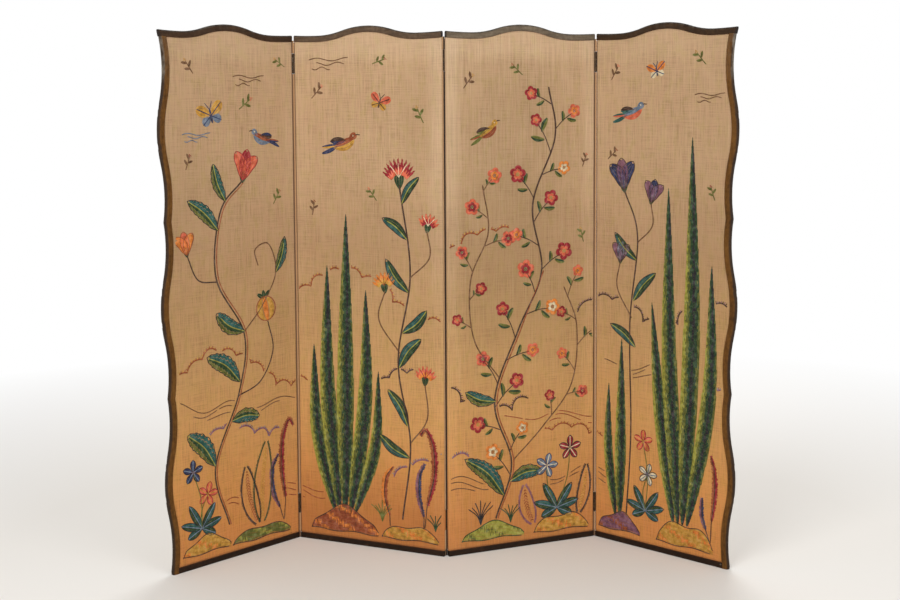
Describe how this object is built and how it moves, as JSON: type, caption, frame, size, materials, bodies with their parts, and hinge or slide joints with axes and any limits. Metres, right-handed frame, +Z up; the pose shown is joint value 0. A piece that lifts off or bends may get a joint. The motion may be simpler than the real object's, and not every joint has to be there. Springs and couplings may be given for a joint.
{
  "type": "folding screen",
  "caption": "Hinged folding screen of linen-covered panels with embroidered fronts, crested tops, dark wood edging and scalloped outer sides, standing in a zigzag.",
  "frame": {"origin": "middle of the base on the floor, with the screen standing in its zigzag", "axes": "+X to the right as the front is seen, +Y from the front to the back, +Z up"},
  "size_m": [1.863, 0.4234, 1.801],
  "materials": {
    "dark_wood_edging": "satin",
    "pine_stretcher": "sawn",
    "front_linen": "woven",
    "back_linen": "woven",
    "linen_welt": "woven",
    "darkened_hinge": "darkened",
    "steel_screw": "dull",
    "wire_nail": "dull"
  },
  "bodies": {
    "panel_1": {"panel_1_top_edging": "dark_wood_edging", "panel_1_side_edging": "dark_wood_edging", "panel_1_bottom_edging": "dark_wood_edging", "panel_1_front_linen": "front_linen", "panel_1_back_linen": "back_linen", "panel_1_top_rail": "pine_stretcher", "panel_1_middle_rail": "pine_stretcher", "panel_1_bottom_rail": "pine_stretcher", "panel_1_outer_stile": "pine_stretcher", "panel_1_inner_stile": "pine_stretcher", "panel_1_nails": "wire_nail", "panel_1_hinge_screws": "steel_screw", "left_seam_left_leaves": "darkened_hinge", "left_seam_pins": "darkened_hinge", "left_seam_welt": "linen_welt"},
    "panel_2": {"panel_2_top_edging": "dark_wood_edging", "panel_2_bottom_edging": "dark_wood_edging", "panel_2_front_linen": "front_linen", "panel_2_back_linen": "back_linen", "panel_2_top_rail": "pine_stretcher", "panel_2_middle_rail": "pine_stretcher", "panel_2_bottom_rail": "pine_stretcher", "panel_2_left_stile": "pine_stretcher", "panel_2_right_stile": "pine_stretcher", "panel_2_nails": "wire_nail", "panel_2_hinge_screws": "steel_screw", "left_seam_right_leaves": "darkened_hinge", "centre_seam_left_leaves": "darkened_hinge", "centre_seam_pins": "darkened_hinge", "centre_seam_welt": "linen_welt"},
    "panel_3": {"panel_3_top_edging": "dark_wood_edging", "panel_3_bottom_edging": "dark_wood_edging", "panel_3_front_linen": "front_linen", "panel_3_back_linen": "back_linen", "panel_3_top_rail": "pine_stretcher", "panel_3_middle_rail": "pine_stretcher", "panel_3_bottom_rail": "pine_stretcher", "panel_3_left_stile": "pine_stretcher", "panel_3_right_stile": "pine_stretcher", "panel_3_nails": "wire_nail", "panel_3_hinge_screws": "steel_screw", "centre_seam_right_leaves": "darkened_hinge", "right_seam_left_leaves": "darkened_hinge", "right_seam_pins": "darkened_hinge", "right_seam_welt": "linen_welt"},
    "panel_4": {"panel_4_top_edging": "dark_wood_edging", "panel_4_side_edging": "dark_wood_edging", "panel_4_bottom_edging": "dark_wood_edging", "panel_4_front_linen": "front_linen", "panel_4_back_linen": "back_linen", "panel_4_top_rail": "pine_stretcher", "panel_4_middle_rail": "pine_stretcher", "panel_4_bottom_rail": "pine_stretcher", "panel_4_outer_stile": "pine_stretcher", "panel_4_inner_stile": "pine_stretcher", "panel_4_foot_screw": "steel_screw", "panel_4_nails": "wire_nail", "panel_4_hinge_screws": "steel_screw", "right_seam_right_leaves": "darkened_hinge"}
  },
  "joints": [
    {"name": "left_seam_fold", "type": "hinge", "parent": "panel_2", "child": "panel_1", "pos_m": [-0.53756, 0.19619, 0], "axis": [0, 0, 1], "range_deg": [-71, 109]},
    {"name": "centre_seam_fold", "type": "hinge", "parent": "panel_2", "child": "panel_3", "pos_m": [-0.01522, -0.01579, 0], "axis": [0, 0, 1], "range_deg": [-47, 133]},
    {"name": "right_seam_fold", "type": "hinge", "parent": "panel_3", "child": "panel_4", "pos_m": [0.51074, 0.18704, 0], "axis": [0, 0, 1], "range_deg": [-114, 66]}
  ]
}
